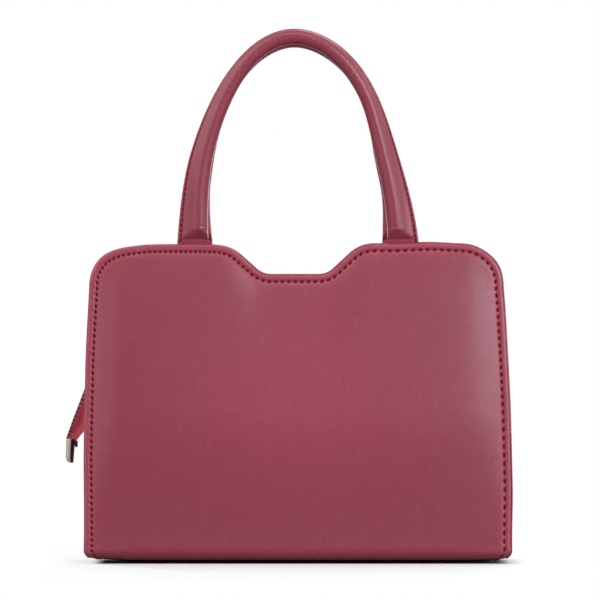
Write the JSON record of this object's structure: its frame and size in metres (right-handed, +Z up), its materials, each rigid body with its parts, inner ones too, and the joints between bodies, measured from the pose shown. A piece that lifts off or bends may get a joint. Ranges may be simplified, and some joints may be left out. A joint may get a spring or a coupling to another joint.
{
  "type": "top handle bag",
  "caption": "Stiffened top handle bag with a notched top edge, arched handles and a zip that runs over the top and down the sides.",
  "frame": {"origin": "centre of the base, on the surface that the bag stands on", "axes": "+X to the right seen from the front, +Y from front to back, +Z up"},
  "size_m": [0.3133, 0.1192, 0.3738],
  "materials": {
    "leather": "smooth wine red coated leather with a satin sheen",
    "facing_leather": "thinner wine red leather",
    "handle_leather": "smooth wine red leather, rolled",
    "cord_core": "twisted cotton filler cord",
    "board": "grey pulp board",
    "lining": "plain woven lining",
    "zip_tape": "woven red tape",
    "dark_metal": "dark gunmetal",
    "polished_metal": "polished gunmetal nickel"
  },
  "bodies": {
    "bag": {"body_wrap": "leather", "front_board": "board", "back_board": "board", "base_board": "board", "body_lining": "lining", "left_gusset": "leather", "right_gusset": "leather", "left_gusset_lining": "lining", "right_gusset_lining": "lining", "front_zip_facing": "facing_leather", "rear_zip_facing": "facing_leather", "front_zip_tape": "zip_tape", "rear_zip_tape": "zip_tape", "front_zip_teeth": "dark_metal", "rear_zip_teeth": "dark_metal", "zip_end_stop": "polished_metal", "front_left_handle_tab": "facing_leather", "front_right_handle_tab": "facing_leather", "rear_left_handle_tab": "facing_leather", "rear_right_handle_tab": "facing_leather"},
    "front_handle": {"front_handle_cover": "handle_leather", "front_handle_core": "cord_core"},
    "rear_handle": {"rear_handle_cover": "handle_leather", "rear_handle_core": "cord_core"},
    "slider": {"zip_slider": "polished_metal"},
    "puller": {"zip_puller": "polished_metal"},
    "zip_tail": {"zip_tail_tape": "zip_tape", "zip_tail_teeth": "dark_metal", "zip_end_cap": "polished_metal", "zip_cap_screw": "dark_metal"}
  },
  "joints": [
    {"name": "front_handle_swing", "type": "hinge", "parent": "bag", "child": "front_handle", "pos_m": [0, -0.0438, 0.2243], "axis": [1, 0, 0], "range_deg": [-15, 90]},
    {"name": "rear_handle_swing", "type": "hinge", "parent": "bag", "child": "rear_handle", "pos_m": [0, 0.0438, 0.2243], "axis": [-1, 0, 0], "range_deg": [-15, 90]},
    {"name": "zip_slide", "type": "slide", "parent": "bag", "child": "slider", "axis": [-0.0224, 0, 0.9997], "range_m": [0, 0.086]},
    {"name": "puller_swing", "type": "hinge", "parent": "slider", "child": "puller", "pos_m": [0.14266, 0, 0.10446], "axis": [0, -1, 0], "range_deg": [-2, 170]},
    {"name": "zip_tail_swing", "type": "hinge", "parent": "bag", "child": "zip_tail", "pos_m": [-0.13952, 0, 0.09703], "axis": [0.0224, 0, 0.9997], "range_deg": [-60, 60]}
  ]
}
